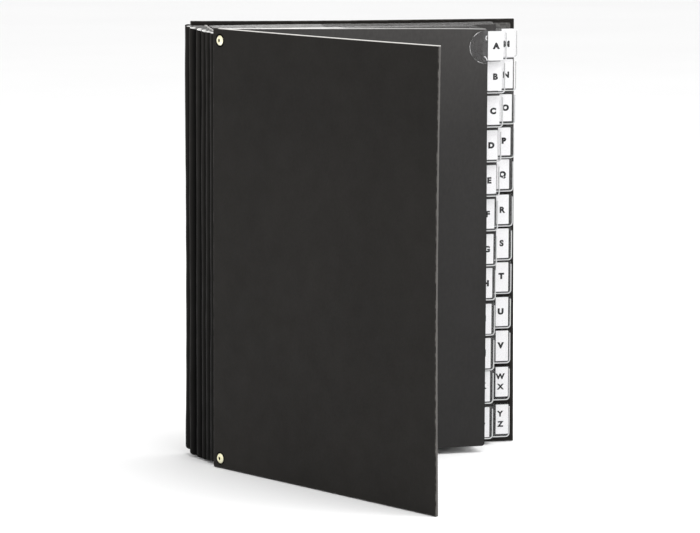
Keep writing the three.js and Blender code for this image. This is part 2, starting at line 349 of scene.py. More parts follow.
def brass_material():
    m = Mat("rivet_brass")
    n = m.noise(260.0, 4.0, 0.6)
    col = m.ramp(n, [(0.3, srgb(240, 234, 190)), (0.7, srgb(254, 252, 232))])
    m.link(col, m.p.inputs["Base Color"])
    m.link(m.ramp(m.noise(700.0, 3.0), [(0.3, (0.24,) * 3), (0.7, (0.38,) * 3)]), m.p.inputs["Roughness"])
    m.link(m.bump(m.noise(900.0, 2.0), 0.06, 0.0001), m.p.inputs["Normal"])
    m.set(Metallic=0.8)
    return m.m


def film_material(name, alpha, tint=(0.95, 0.96, 0.97), rough=0.12):
    m = Mat(name)
    n = m.noise(70.0, 2.0)
    m.link(m.ramp(n, [(0.3, tuple(c * 0.96 for c in tint)), (0.7, tint)]), m.p.inputs["Base Color"])
    m.link(m.ramp(m.noise(300.0), [(0.3, (rough,) * 3), (0.7, (rough + 0.08,) * 3)]), m.p.inputs["Roughness"])
    m.link(m.bump(m.noise(90.0, 2.0), 0.10, 0.0004), m.p.inputs["Normal"])
    m.set(Alpha=alpha, Specular_IOR_Level=0.6)
    return m.m


def paper_material():
    m = Mat("insert_paper")
    n = m.noise(800.0, 4.0, 0.7)
    m.link(m.ramp(n, [(0.3, (0.70, 0.695, 0.705)), (0.7, (0.775, 0.77, 0.78))]), m.p.inputs["Base Color"])
    m.link(m.ramp(n, [(0.3, (0.78,) * 3), (0.7, (0.9,) * 3)]), m.p.inputs["Roughness"])
    m.link(m.bump(n, 0.12, 0.00008), m.p.inputs["Normal"])
    m.set(Specular_IOR_Level=0.2)
    return m.m


def ink_material():
    m = Mat("index_ink")
    n = m.noise(1400.0, 3.0)
    m.link(m.ramp(n, [(0.3, (0.003, 0.003, 0.0035)), (0.7, (0.008, 0.008, 0.009))]), m.p.inputs["Base Color"])
    m.link(m.ramp(n, [(0.3, (0.55,) * 3), (0.7, (0.7,) * 3)]), m.p.inputs["Roughness"])
    m.set(Specular_IOR_Level=0.1)
    return m.m


COVER = cover_material("cover_leather_grain", (0.0104, 0.0092, 0.0079))
# the front cover's fore-edge: a grey cut edge, made lighter as a painted highlight where it catches the light from the
# right
CUT_EDGE_AND_SHEEN = edge_material("cover_cut_edge_and_painted_sheen", (0.100, 0.096, 0.092), spec=0.12)
# painted highlight: near white for the front cover's top edge, where the light from above catches it
TOP_EDGE_HIGHLIGHT = edge_material("cover_top_edge_painted_highlight", (0.58, 0.565, 0.54), spec=0.12)
CUT_BACK = edge_material("cover_wrapped_edge", (0.020, 0.019, 0.018), spec=0.1)
LINING = board_material("cover_lining_paper", (0.0085, 0.0080, 0.0074), 0.08)
# painted light: the back lining is lighter towards the top
LINING_BACK = board_material("back_lining_paper", (0.0085, 0.0080, 0.0074), 0.08, height_light=(0.28, 0.343, 1.0, 2.2),
                             rub=(0.145, 0.142, 0.137))
# painted light and shade: the spine cloth is lighter towards the top and darker inside its folds
CLOTH = cloth_material("spine_book_cloth", (0.0066, 0.0060, 0.0053), height_light=(0.0, 0.33, 0.45, 1.35))
TAPE = cloth_material("hinge_cloth_tape", (0.008, 0.0077, 0.0073))
# painted light and shade: the leaves are darker towards the bottom and lighter near the top
LEAF = board_material("leaf_pressboard", (0.0222, 0.0212, 0.0206), 0.19, height_light=(0.02, 0.33, 0.72, 1.16),
                      top_light=(0.262, 0.343, 1.0, 1.62))
LEAF_EDGE = edge_material("leaf_cut_edge", (0.97, 0.95, 0.92), (-0.08, 0.03, 0.54))
ROOT = edge_material("root_card", (0.86, 0.85, 0.83))
# painted shade: the binder card is grey where it lies in shade inside the pleats
CARD = edge_material("binder_card", (0.50, 0.49, 0.47))
# painted shade: the fold lining is greyer where the attribute inside is one, away from the light
FOLD_LINING = edge_material("fold_lining", (0.86, 0.85, 0.83), inside_shade=0.26)
BRASS = brass_material()
BRASS_DARK = board_material("rivet_bore_dark", (0.035, 0.032, 0.018), 0.1)
# painted shadow: a near-black ring round each rivet head
RIVET_SHADOW_RING = board_material("rivet_painted_shadow_ring", (0.0012, 0.0011, 0.0010), 0.02)
FILM = film_material("tab_film", 0.016)
RIM = film_material("tab_rim", 0.70, (0.74, 0.745, 0.75), 0.22)
SEAL = film_material("round_seal_film", 0.012, (0.8, 0.8, 0.85))
SEAL_RIM = film_material("round_seal_glint", 0.34, (0.70, 0.70, 0.70), 0.2)
SEAL_EDGE = film_material("round_seal_edge", 0.07, (0.5, 0.5, 0.5), 0.2)
# painted glints: near-white bars on the seal's puckered film
SEAL_FOLD_GLINT = film_material("round_seal_painted_fold_glint", 0.9, (0.82, 0.82, 0.83), 0.2)
PAPER = paper_material()
INK = ink_material()


# ----------------------------------------------------------------- meshes
def finish_mesh(name, bm, mats, sharp=35.0, recalc=True):
    if recalc:
        bmesh.ops.recalc_face_normals(bm, faces=bm.faces)
    me = bpy.data.meshes.new(name)
    bm.to_mesh(me)
    bm.free()
    for m in mats:
        me.materials.append(m)
    me.shade_smooth()
    if sharp is not None:
        me.set_sharp_from_angle(angle=math.radians(sharp))
    o = bpy.data.objects.new(name, me)
    bpy.context.scene.collection.objects.link(o)
    return o


def set_attr(o, name, fn):
    a = o.data.attributes.get(name) or o.data.attributes.new(name, "FLOAT", "POINT")
    a.data.foreach_set("value", [float(fn(v.co)) for v in o.data.vertices])


def rrect(u0, u1, v0, v1, rs, steps=6):
    """Rounded rectangle, counter-clockwise from the low corner; rs are the four corner radii."""
    pts = []
    for (cx, cy, sx, sy, a0), r in zip(
            ((u0, v0, 1, 1, 180), (u1, v0, -1, 1, 270), (u1, v1, -1, -1, 0), (u0, v1, 1, -1, 90)), rs):
        for s in range(steps + 1):
            a = math.radians(a0 + 90 * s / steps)
            pts.append((cx + sx * r + r * math.cos(a), cy + sy * r + r * math.sin(a)))
    return pts


def slab(u0, u1, v0, v1, rs, w0, w1, edge, to_world, cuts=(0, 0), edge_mat=None, edge_steps=3, steps=6,
         extra=((), ())):
    """Rounded plate in u, v with its thickness in w from w0 to w1 (mm) and softened edges. to_world maps u, v, w."""
    bm = bmesh.new()
    rings = []
    prof = []
    if edge > 0:
        for s in range(edge_steps + 1):
            a = math.pi / 2 * s / edge_steps
            prof.append((edge * (1 - math.sin(a)), w0 + edge * (1 - math.cos(a))))
        for s in range(edge_steps + 1):
            a = math.pi / 2 * s / edge_steps
            prof.append((edge * (1 - math.cos(a)), w1 - edge * (1 - math.sin(a))))
    else:
        prof = [(0, w0), (0, w1)]
    for d, w in prof:
        pts = rrect(u0 + d, u1 - d, v0 + d, v1 - d, [max(r - d, 0.02) for r in rs], steps)
        rings.append([bm.verts.new((x, w, y)) for x, y in pts])
    n = len(rings[0])
    caps = [bm.faces.new(list(reversed(rings[0]))), bm.faces.new(rings[-1])]
    sides = []
    for a, b in zip(rings, rings[1:]):
        for i in range(n):
            sides.append(bm.faces.new((a[i], a[(i + 1) % n], b[(i + 1) % n], b[i])))
    if edge_mat is not None:
        # the flat cut face only, not the softened corners
        mid = len(rings) // 2 - 1
        for f in (sides[mid * n:(mid + 1) * n] if edge > 0 else sides):
            f.material_index = edge_mat
    for x in [u0 + (u1 - u0) * k / (cuts[0] + 1) for k in range(1, cuts[0] + 1)] + list(extra[0]):
        bmesh.ops.bisect_plane(bm, geom=bm.verts[:] + bm.edges[:] + bm.faces[:], plane_co=(x, 0, 0), plane_no=(1, 0, 0))
    for z in [v0 + (v1 - v0) * k / (cuts[1] + 1) for k in range(1, cuts[1] + 1)] + list(extra[1]):
        bmesh.ops.bisect_plane(bm, geom=bm.verts[:] + bm.edges[:] + bm.faces[:], plane_co=(0, 0, z), plane_no=(0, 0, 1))
    bmesh.ops.remove_doubles(bm, verts=bm.verts, dist=0.004)
    for v in bm.verts:
        v.co = to_world(v.co.x, v.co.z, v.co.y)
    return bm


def ribbon(line, thick, zs, to_world, wave=None):
    """Cloth strip: an open line in plan with a thickness, run up through the heights zs.
    line(z) gives the points at that height."""
    bm = bmesh.new()
    rows = []
    for z in zs:
        pts = [Vector((p[0], p[1])) for p in line(z)]
        row_a, row_b = [], []
        for i, p in enumerate(pts):
            t = (pts[min(i + 1, len(pts) - 1)] - pts[max(i - 1, 0)]).normalized()
            n = Vector((-t.y, t.x))
            row_a.append(bm.verts.new(to_world(p.x + n.x * thick / 2, p.y + n.y * thick / 2, z)))
            row_b.append(bm.verts.new(to_world(p.x - n.x * thick / 2, p.y - n.y * thick / 2, z)))
        rows.append((row_a, row_b))
    m = len(rows[0][0])
    for (a0, b0), (a1, b1) in zip(rows, rows[1:]):
        for i in range(m - 1):
            bm.faces.new((a0[i], a0[i + 1], a1[i + 1], a1[i]))
            bm.faces.new((b0[i + 1], b0[i], b1[i], b1[i + 1]))
        bm.faces.new((b0[0], a0[0], a1[0], b1[0]))
        bm.faces.new((a0[-1], b0[-1], b1[-1], a1[-1]))
    for a, b in (rows[0], rows[-1]):
        for i in range(m - 1):
            bm.faces.new((a[i], b[i], b[i + 1], a[i + 1]))
    return bm


def lathe(profile, segs, to_world):
    """Closed turned solid; profile is (radius, height) from the axis to the axis."""
    bm = bmesh.new()
    rings = []
    for r, h in profile:
        if r < 1e-6:
            rings.append([bm.verts.new(to_world(0, 0, h))])
        else:
            rings.append([bm.verts.new(to_world(r * math.cos(2 * math.pi * i / segs), r * math.sin(2 * math.pi * i / segs), h))
                          for i in range(segs)])
    for a, b in zip(rings, rings[1:]):
        for i in range(segs):
            j = (i + 1) % segs
            if len(a) == 1:
                bm.faces.new((a[0], b[j], b[i]))
            elif len(b) == 1:
                bm.faces.new((a[i], a[j], b[0]))
            else:
                bm.faces.new((a[i], a[j], b[j], b[i]))
    return bm


def n1(*p):
    return noise.noise(Vector(p))


# ------------------------------------------------------------------ covers
_c, _s = math.cos(math.radians(COVER_OPEN)), math.sin(math.radians(COVER_OPEN))


def front_world(u, z, w):
    """u along the front cover from its hinge, w into the book from its inner face (outer face is w = -BOARD_T)."""
    x = HINGE[0] + u * _c + w * _s
    y = HINGE[1] - u * _s + w * _c
    return W(x, y, z)


def back_world(u, z, w):
    return W(u, -w, z)


def front_bow(u, z):
    """The board has warped a little: its fore-edge bows outwards."""
    t = max(0.0, u / COVER_W)
    return -1.6 * t * t * math.sin(math.pi * min(1, max(0, z / COVER_H))) ** 1.0


def front_skew(u, v):
    """The front board was cut a little out of square."""
    return 1.3 * (max(0.0, u) / COVER_W) ** 2 * (max(0.0, v) / COVER_H) ** 3


def back_widen(u, v):
    """Its fore-edge was cut a little out of square too."""
    return 2.3 * (max(0.0, u) / COVER_W) ** 4 * (1 - max(0.0, min(1.0, v / COVER_H)))


def back_skew(u, v):
    return 1.1 * max(0.0, 1 - max(0.0, u) / 170) ** 2 * (max(0.0, v) / COVER_H) ** 3


def inv_front(co):
    x = (co.x - OX) * 1000 - HINGE[0]
    y = (co.y - OY) * 1000 - HINGE[1]
    u, z = x * _c - y * _s, co.z * 1000
    return u, z - front_skew(u, z), x * _s + y * _c


def inv_back(co):
    u, z = (co.x - OX) * 1000, co.z * 1000
    return u - back_widen(u, z), z - back_skew(u, z), -(co.y - OY) * 1000


def cover(name, world, bow, u0, cut, top_highlight_from=None):
    def place(u, v, w):
        if top_highlight_from is not None:
            return world(u, v + front_skew(u, v), w + bow(u, v))
        return world(u + back_widen(u, v), v + back_skew(u, v), w + bow(u, v))
    bm = slab(u0, u0 + COVER_W, 0, COVER_H, [0.5] * 4, -BOARD_T, 0.0, 0.54 if top_highlight_from is not None else 0.42, place, cuts=(9, 12), steps=4,
              extra=((u0 + 1.0, u0 + 6.5, u0 + COVER_W - 1.0), (1.0, COVER_H - 1.0)), edge_mat=1)
    if top_highlight_from is not None:
        # painted highlight: the top edge takes a near-white colour away from the spine, where it catches the light from
        # above
        for f in bm.faces:
            c_ = f.calc_center_median()
            u_, z_, w_ = inv_front(c_)
            if z_ > COVER_H - 0.44 and u_ > top_highlight_from:
                f.material_index = 2
    o = finish_mesh(name, bm, [COVER, cut, TOP_EDGE_HIGHLIGHT], sharp=50)
    # lining paper on the inner face
    bm = slab(u0 + 12, u0 + COVER_W - 3.2, 3.2, COVER_H - 3.2, [1.2] * 4, 0.0, 0.16, 0.06, place, cuts=(9, 12), edge_steps=1,
              extra=([u0 + COVER_W - d for d in (30, 25, 20, 16, 12, 8)], [COVER_H - d for d in (24, 19, 14, 10, 7, 5)]))
    lining = finish_mesh(name + "_lining", bm, [LINING if top_highlight_from is not None else LINING_BACK], sharp=40)
    if top_highlight_from is None:
        # the leaves' corners have rubbed the lining at its top fore-edge corner
        def corner(co):
            u_, z_, w_ = inv_back(co)
            return min(1.0, max(0.0, (u_ - COVER_W + 27) / 9)) * min(1.0, max(0.0, (z_ - COVER_H + 20) / 9))
        set_attr(lining, "wear", corner)
    return o, lining


def edge_wear(o, lo_u, world_to_uvw):
    def f(co):
        u, z, w = world_to_uvw(co)
        d = min(abs(u - lo_u), abs(u - (lo_u + COVER_W)), z, COVER_H - z)
        return max(0.0, 1.0 - d / 0.95)
    set_attr(o, "wear", f)


back, back_lining = cover("back_board", back_world, lambda u, z: 0.0, 0.0, CUT_BACK)
edge_wear(back, 0.0, inv_back)
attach(back, "root"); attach(back_lining, "root")
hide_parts("back_cover")
front, front_lining = cover("front_board", front_world, front_bow, COVER_EDGE, CUT_EDGE_AND_SHEEN, top_highlight_from=8.0)
edge_wear(front, COVER_EDGE, inv_front)
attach(front, "front_cover"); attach(front_lining, "front_cover")
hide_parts("front_cover")


# ------------------------------------------------------------------ rivets
def rivet(name, world, inv, u, z, body, node):
    """Domed tubular rivet: head outside the board, rolled tail inside."""
    R = 3.95
    head = [(0.0, -0.9), (0.9, -0.9), (1.1, -0.4), (1.2, 0.5), (1.3, 1.05), (1.55, 1.42), (2.1, 1.42), (2.6, 1.24),
            (3.1, 0.92), (3.5, 0.58), (3.8, 0.26), (R, 0.06), (R - 0.02, -0.05)]
    prof = [(r, BOARD_T + h) for r, h in head]
    prof += [(2.0, BOARD_T - 0.05), (2.0, -0.05), (3.0, -0.06), (3.35, -0.2), (3.4, -0.42), (3.2, -0.66), (2.7, -0.78),
             (2.1, -0.72), (1.6, -0.5), (1.2, -0.36), (0.0, -0.30)]
    bm = lathe(prof, 56, lambda a, b, h: world(u + a, z + b, -h))
    # the faces in the bore of the head are darker
    for f in bm.faces:
        u_, z_, w_ = inv(f.calc_center_median())
        if math.hypot(u_ - u, z_ - z) < 1.22 and w_ < -BOARD_T * 0.5:
            f.material_index = 1
    o = finish_mesh(name, bm, [BRASS, BRASS_DARK], sharp=60)
    mod = o.modifiers.new("round", "SUBSURF")
    mod.levels = mod.render_levels = 1
    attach(o, body)
    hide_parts(node)
    # painted shadow: a thin near-black ring lies on the covering round the head, for the shade round it
    ring_profile = [(3.3, BOARD_T + 0.0), (3.3, BOARD_T + 0.05), (4.0, BOARD_T + 0.09), (4.7, BOARD_T + 0.08), (5.2, BOARD_T + 0.03), (5.2, BOARD_T - 0.05), (3.3, BOARD_T - 0.05)]
    bm = bmesh.new()
    rings = [[bm.verts.new(world(u + r * math.cos(2 * math.pi * i / 56), z + r * math.sin(2 * math.pi * i / 56), -h)) for i in range(56)]
             for r, h in ring_profile[1:]]
    for a, b in zip(rings, rings[1:] + rings[:1]):
        for i in range(56):
            j = (i + 1) % 56
            bm.faces.new((a[i], a[j], b[j], b[i]))
    st = finish_mesh(name + "_painted_shadow_ring", bm, [RIVET_SHADOW_RING], sharp=60)
    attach(st, body)
    return o


for end, z in (("lower", RIVET_LOW), ("upper", COVER_H - RIVET_TOP)):
    rivet(f"rivet_back_{end}", back_world, inv_back, RIVET_INSET, z, "root", f"back_rivet_{end}")
    rivet(f"rivet_front_{end}", front_world, inv_front, COVER_EDGE + RIVET_INSET, z, "front_cover", f"front_rivet_{end}")


# ------------------------------------------------------------------ pleats
def pleat_y(k):
    return BACK - PITCH * (6 - k) + PITCH / 2       # k from 0 at the front


VIS_HALF = 4.05          # outside half width of a visible pleat's middle line
LINING_UP = [1.2, 1.2, 1.0, 0.7, 0.2, -0.5]
CARD_UP = [0.8, 0.8, 0.8, 0.7, 0.4, 0.0]
LINING_WHITE = [9.0, 3.4, 3.6, 4.4, 5.0, 4.8]      # mm of lining near each fold that the light reaches


def z_steps(k, trim=0.0):
    z0, z1 = PLEAT_ENDS[k]
    return [z0 + trim + (z1 - z0 - 2 * trim) * i / 84 for i in range(85)]


# the cloth's ends slope across each pleat, lower at its front: mm at its walls
TOP_SLOPE = [0.1, 0.15, 0.6, 0.75, 0.75, 0.8]
LOW_SLOPE = [0.4, 0.4, 0.8, 1.0, 1.7, 1.9]


def pleat_place(k, drop):
    """Slopes a pleat's ends across it, and drops its walls' tops inside the spine."""
    yc = pleat_y(k)

    def f(x, y, z):
        t = (y - yc) / VIS_HALF
        low = max(0.0, 1 - (z - PLEAT_ENDS[k][0]) / 40)
        high = max(0.0, 1 - (PLEAT_ENDS[k][1] - z) / 40)
        inner = min(1.0, max(0.0, (x - LEFT[k] - 4.0) / 3.0))
        return W(x, y, z + t * (LOW_SLOPE[k] * low + TOP_SLOPE[k] * high) - drop * inner * high)
    return f


def pleat_line(k, inset=0.0):
    yc = pleat_y(k)

    def line(z):
        swell = 0.5 * n1(k * 7.3, z * 0.012, 0.0) + 0.22 * n1(k * 3.1, z * 0.05, 5.0)
        left = LEFT[k] + 0.35 + swell + inset
        lean = 0.16 * n1(k * 2.7, z * 0.03, 9.0)
        h = VIS_HALF - inset
        r = 3.9 - inset
        pts = [(BINDER_X1 - 0.2, yc - h)]
        cx = left + r
        x = BINDER_X1 - 1.6
        while x > cx + 0.8:
            f = 0.10 * math.sin((x - cx) * 0.6)
            pts.append((x, yc - h + f))
            x -= 1.8
        for i in range(15):
            a = -math.pi / 2 - math.pi * i / 14
            ca, sa = math.cos(a), math.sin(a)
            # a little flatter than a circle, like a pressed fold
            pts.append((cx + r * math.copysign(abs(ca) ** 0.86, ca), yc + lean * -ca + h * math.copysign(abs(sa) ** 0.92, sa)))
        x = cx + 0.8
        while x < BINDER_X1 - 1.5:
            pts.append((x, yc + h - 0.10 * math.sin((x - cx) * 0.6)))
            x += 1.8
        pts.append((BINDER_X1 - 0.2, yc + h))
        # resample to a fixed count
        return resample(pts, 44)
    return line


def resample(pts, n):
    p = np.array(pts, float)
    d = np.r_[0, np.cumsum(np.hypot(*np.diff(p, axis=0).T))]
    s = np.linspace(0, d[-1], n)
    return list(zip(np.interp(s, d, p[:, 0]), np.interp(s, d, p[:, 1])))


for k in range(6):
    body = f"section_{k + 1}"
    e0, e1 = PLEAT_ENDS[k]
    o = finish_mesh(f"pleat_cloth_{k + 1}", ribbon(pleat_line(k), 0.5, z_steps(k), pleat_place(k, 1.2)), [CLOTH], sharp=60)
    set_attr(o, "wear", lambda co: 0.0)
    # painted shade: darker inside the fold, away from its outer crest
    set_attr(o, "inside", lambda co, k=k: min(1.0, max(0.0, ((co.x - OX) * 1000 - LEFT[k] - 0.8) / 2.0)))
    # paper lining inside the fold, a little taller than the cloth
    li = finish_mesh(f"pleat_lining_{k + 1}", ribbon(pleat_line(k, 0.50), 0.34, [z + (LINING_UP[k] if z > 170 else 0.0) for z in z_steps(k, 0.6)], pleat_place(k, 0.0)),
                     [FOLD_LINING], sharp=60)
    # painted shade: greyer beyond the part of the lining near the fold that the light reaches
    set_attr(li, "inside", lambda co, k=k: min(1.0, max(0.0, ((co.x - OX) * 1000 - LEFT[k] - LINING_WHITE[k]) / 1.2)))
    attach(li, body)
    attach(o, body)
    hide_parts(f"spine_pleat_{k + 1}")
    # binding strip of card across the pleat, coloured grey as painted shade where it lies inside the pleat
    yc = pleat_y(k)
    bm = slab(BINDER_X0, BINDER_X1, e0 + 2.0, e1 + CARD_UP[k], [0.2] * 4, yc - VIS_HALF + 0.72, yc + VIS_HALF - 0.72, 0.0,
              lambda u, v, w: W(u, w, v), steps=2)
    b = finish_mesh(f"binder_card_{k + 1}", bm, [CARD], sharp=40)
    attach(b, body)


# the cloth's inner folds: each joins a pleat's rear wall to the front wall of
# the one behind it, round their hinge line
for k in range(5):
    px, yb = LEFT[k] + 3.0, pleat_y(k) + PITCH / 2
    line = [(px + 3.4, yb + 0.30), (px + 2.2, yb + 0.30), (px + 1.2, yb + 0.30), (px + 0.5, yb + 0.27), (px + 0.12, yb + 0.17),
            (px, yb), (px + 0.12, yb - 0.17), (px + 0.5, yb - 0.27), (px + 1.2, yb - 0.30), (px + 2.2, yb - 0.30), (px + 3.4, yb - 0.30)]
    z0 = max(PLEAT_ENDS[k][0], PLEAT_ENDS[k + 1][0]) + 0.6
    z1 = min(PLEAT_ENDS[k][1], PLEAT_ENDS[k + 1][1]) - 0.6
    s = finish_mesh(f"inner_fold_{k + 1}", ribbon(lambda z, line=line: line, 0.22, [z0 + (z1 - z0) * i / 8 for i in range(9)], W),
                    [CLOTH], sharp=60)
    set_attr(s, "wear", lambda co: 0.0)
    # painted shade: the inner folds take the full darkening
    set_attr(s, "inside", lambda co: 1.0)
    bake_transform(s)


# ------------------------------------------------------------------ leaves
def leaf_y(n):
    return pleat_y(n // 4) + ((n % 4) - 1.5) * STEP


def leaf_angle(n):
    return math.asin((FORE_Y[n] - leaf_y(n)) / (FORE_X - CREASE_X))


def leaf_edge(n):
    return EDGE_OUTER if n >= 12 else EDGE_INNER


def leaf_wave(n, lx, z):
    """Small bow of each leaf, nothing at the crease."""
    g = min(1.0, max(0.0, lx / 120.0))
    free = max(0.0, (12 - n) / 12)          # the spread front leaves bow more freely
    return g * (0.45 * n1(0.0, lx * 0.006, z * 0.007) + 0.9 * free * n1(n * 0.9, lx * 0.006, z * 0.009))


def leaf_world(n):
    a = leaf_angle(n)
    ca, sa = math.cos(a), math.sin(a)
    y0 = leaf_y(n)

    def f(lx, z, ly):
        """lx along the leaf from its crease, ly across it; minus is the front."""
        ly = ly + leaf_wave(n, lx, z)
        return W(CREASE_X + lx * ca - ly * sa, y0 + lx * sa + ly * ca, z)
    return f


def leaf_body(n):
    return f"section_{n // 4 + 1}" if n % 4 == 0 else f"leaf_{LETTERS[n]}"


def letter_mesh(text, size, bold=0.034):
    cu = bpy.data.curves.new("t", "FONT")
    cu.body = text
    cu.size = size
    cu.align_x = "CENTER"
    cu.align_y = "CENTER"
    cu.offset = bold * size
    cu.resolution_u = 6
    o = bpy.data.objects.new("t", cu)
    bpy.context.scene.collection.objects.link(o)
    bpy.context.view_layer.update()
    dg = bpy.context.evaluated_depsgraph_get()
    me = bpy.data.meshes.new_from_object(o.evaluated_get(dg))
    bpy.data.objects.remove(o)
    bpy.data.curves.remove(cu)
    return me


def glyph_into(bm, text, cx, cz, cap, to_world, y0, y1, bold=0.034):
    """Adds one letter with a small thickness: cap height in mm, centred on cx, cz."""
    me = letter_mesh(text, 10.0, bold)
    co = np.array([v.co for v in me.vertices])
    lo, hi = co.min(0), co.max(0)
    ref = letter_mesh("H", 10.0, bold)
    rc = np.array([v.co for v in ref.vertices])
    s = cap / (rc[:, 1].max() - rc[:, 1].min())
    mx, my = (lo[0] + hi[0]) / 2, (rc[:, 1].max() + rc[:, 1].min()) / 2
    tmp = bmesh.new()
    tmp.from_mesh(me)
    bmesh.ops.remove_doubles(tmp, verts=tmp.verts, dist=1e-4)
    flat = [f for f in tmp.faces]
    sx = s * 1.08       # a wide face
    front = {v: bm.verts.new(to_world(cx + (v.co.x - mx) * sx, cz + (v.co.y - my) * s, y0)) for v in tmp.verts}
    rear = {v: bm.verts.new(to_world(cx + (v.co.x - mx) * sx, cz + (v.co.y - my) * s, y1)) for v in tmp.verts}
    for f in flat:
        bm.faces.new([front[v] for v in f.verts])
        bm.faces.new([rear[v] for v in reversed(f.verts)])
    for e in tmp.edges:
        if len(e.link_faces) == 1:
            a, b = e.verts
            bm.faces.new((front[a], front[b], rear[b], rear[a]))
    tmp.free()
    bpy.data.meshes.remove(me)
    bpy.data.meshes.remove(ref)


def frame_ring(bm, outer, inner, y0, y1, to_world):
    """Flat ring between two outlines with the same number of points."""
    loops = []
    for pts, y in ((outer, y0), (inner, y0), (inner, y1), (outer, y1)):
        loops.append([bm.verts.new(to_world(x, z, y)) for x, z in pts])
    n = len(outer)
    for a, b in zip(loops, loops[1:] + loops[:1]):
        for i in range(n):
            j = (i + 1) % n
            bm.faces.new((a[i], a[j], b[j], b[i]))


def bar(bm, path, width, y0, y1, to_world):
    """Flat strip along an open path in x and z, closed all round."""
    rows = []
    for i, p in enumerate(path):
        a, b = Vector(path[max(i - 1, 0)]), Vector(path[min(i + 1, len(path) - 1)])
        t = (b - a).normalized()
        n_ = Vector((-t.y, t.x)) * width / 2
        rows.append([bm.verts.new(to_world(p[0] + q * n_.x, p[1] + q * n_.y, y)) for q, y in ((1, y0), (-1, y0), (-1, y1), (1, y1))])
    for a, b in zip(rows, rows[1:]):
        for i in range(4):
            bm.faces.new((a[i], a[(i + 1) % 4], b[(i + 1) % 4], b[i]))
    bm.faces.new(list(reversed(rows[0])))
    bm.faces.new(rows[-1])


def leaf_top(n, x):
    """How far a leaf's top stands above its corner, mm: the front leaves rise towards the spine, the rear ones sag."""
    rise = max(0.0, 1 - n / 12) * (0.5 * min(1.0, max(0.0, (224 - x) / 30)) + 0.0155 * max(0.0, 224 - x))
    sag = n / 23 * float(np.interp(x, [0, 66, 116, 151, 186, 226], [0.5, 0.3, 0.45, 0.6, 0.5, 0.1]))
    return rise - sag


